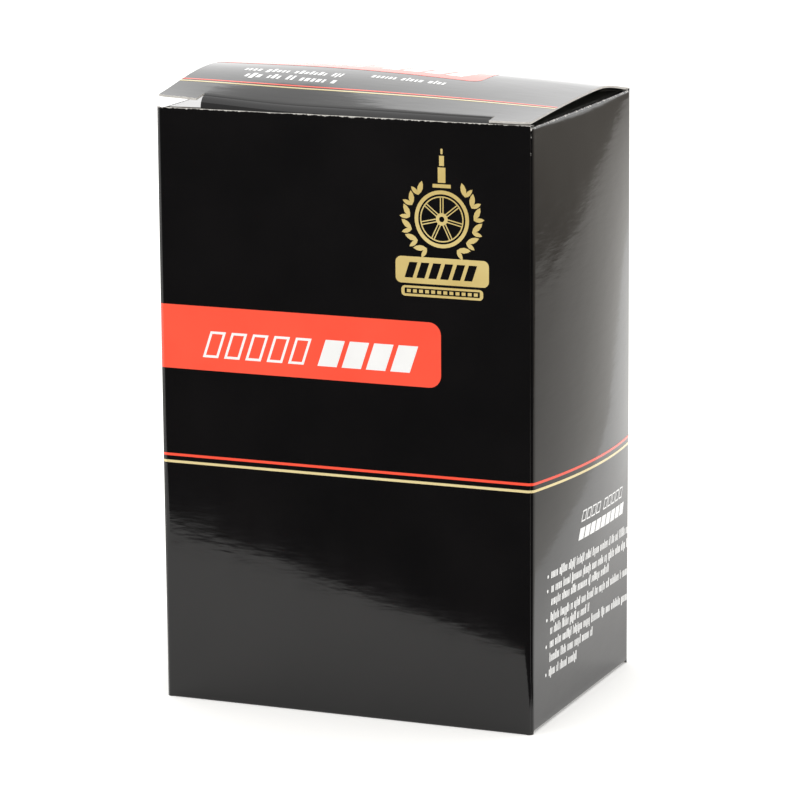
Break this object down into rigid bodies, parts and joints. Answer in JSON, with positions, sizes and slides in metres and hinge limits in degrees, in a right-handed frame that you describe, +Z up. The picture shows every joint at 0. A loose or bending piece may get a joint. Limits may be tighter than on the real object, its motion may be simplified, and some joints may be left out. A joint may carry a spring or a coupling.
{
  "type": "boxed bicycle inner tube",
  "caption": "Bicycle inner tube with a Presta valve, rolled flat and banded inside a glossy tuck-end paperboard carton.",
  "frame": {"origin": "middle of the carton's base", "axes": "+Z up from the base to the top lid, front panel faces -Y, valve side is +X"},
  "size_m": [0.08, 0.058, 0.1258],
  "materials": {
    "board": "gloss laminated black outside, white edges",
    "butyl": "matte with talc",
    "pad_rubber": "matte moulded",
    "band": "satin natural latex",
    "seal_rubber": "satin",
    "nickel": "nickel plated",
    "cap_plastic": "satin black"
  },
  "bodies": {
    "carton": {"front_panel": "board", "back_panel": "board", "left_panel": "board", "right_panel": "board", "glue_flap": "board"},
    "top_lid": {"top_lid": "board"},
    "top_tuck": {"top_tuck_flap": "board"},
    "top_dust_left": {"top_dust_flap_left": "board"},
    "top_dust_right": {"top_dust_flap_right": "board"},
    "bottom_lid": {"bottom_lid": "board"},
    "bottom_tuck": {"bottom_tuck_flap": "board"},
    "bottom_dust_left": {"bottom_dust_flap_left": "board"},
    "bottom_dust_right": {"bottom_dust_flap_right": "board"},
    "tube_bundle": {"inner_tube": "butyl", "rubber_band": "band", "valve_pad": "pad_rubber", "valve_stem": "nickel", "core_barrel": "nickel"},
    "rim_nut": {"rim_nut": "nickel"},
    "core_pin": {"core_pin": "nickel", "core_seal": "seal_rubber"},
    "core_locknut": {"core_locknut": "nickel"},
    "valve_cap": {"valve_cap": "cap_plastic"}
  },
  "joints": [
    {"name": "top_lid_hinge", "type": "hinge", "parent": "carton", "child": "top_lid", "pos_m": [0, 0.028, 0.122], "axis": [-1, 0, 0], "range_deg": [0, 150]},
    {"name": "top_tuck_crease", "type": "hinge", "parent": "top_lid", "child": "top_tuck", "pos_m": [0, -0.02813, 0.12], "axis": [-1, 0, 0], "range_deg": [0, 25.5]},
    {"name": "top_dust_left_crease", "type": "hinge", "parent": "carton", "child": "top_dust_left", "pos_m": [-0.039, 0, 0.1212], "axis": [0, -1, 0], "range_deg": [0, 90]},
    {"name": "top_dust_right_crease", "type": "hinge", "parent": "carton", "child": "top_dust_right", "pos_m": [0.039, 0, 0.1212], "axis": [0, 1, 0], "range_deg": [0, 90]},
    {"name": "bottom_lid_hinge", "type": "hinge", "parent": "carton", "child": "bottom_lid", "pos_m": [0, -0.028, 0], "axis": [-1, 0, 0], "range_deg": [0, 150]},
    {"name": "bottom_tuck_crease", "type": "hinge", "parent": "bottom_lid", "child": "bottom_tuck", "pos_m": [0, 0.02813, 0.00252], "axis": [-1, 0, 0], "range_deg": [0, 25.5]},
    {"name": "bottom_dust_left_crease", "type": "hinge", "parent": "carton", "child": "bottom_dust_left", "pos_m": [-0.039, 0, 0.0008], "axis": [0, 1, 0], "range_deg": [0, 90]},
    {"name": "bottom_dust_right_crease", "type": "hinge", "parent": "carton", "child": "bottom_dust_right", "pos_m": [0.039, 0, 0.0008], "axis": [0, -1, 0], "range_deg": [0, 90]},
    {"name": "tube_lift", "type": "slide", "parent": "carton", "child": "tube_bundle", "axis": [0, 0, 1], "range_m": [0, 0.013]},
    {"name": "rim_nut_spin", "type": "hinge", "parent": "tube_bundle", "child": "rim_nut", "pos_m": [0.027, 0, 0.0675], "axis": [0, 0, 1], "continuous": true},
    {"name": "core_pin_press", "type": "slide", "parent": "tube_bundle", "child": "core_pin", "axis": [0, 0, -1], "range_m": [0, 0.0015]},
    {"name": "core_locknut_spin", "type": "hinge", "parent": "core_pin", "child": "core_locknut", "pos_m": [0.027, 0, 0.0979], "axis": [0, 0, 1], "continuous": true},
    {"name": "valve_cap_lift", "type": "slide", "parent": "tube_bundle", "child": "valve_cap", "axis": [0, 0, 1], "range_m": [0, 0.0145]}
  ],
  "couplings": [
    {"joint": "top_tuck_crease", "follows": "top_lid_hinge", "ratio": 0.16667},
    {"joint": "top_dust_left_crease", "follows": "top_lid_hinge", "ratio": 0.6},
    {"joint": "top_dust_right_crease", "follows": "top_lid_hinge", "ratio": 0.6},
    {"joint": "bottom_tuck_crease", "follows": "bottom_lid_hinge", "ratio": 0.16667},
    {"joint": "bottom_dust_left_crease", "follows": "bottom_lid_hinge", "ratio": 0.6},
    {"joint": "bottom_dust_right_crease", "follows": "bottom_lid_hinge", "ratio": 0.6}
  ]
}
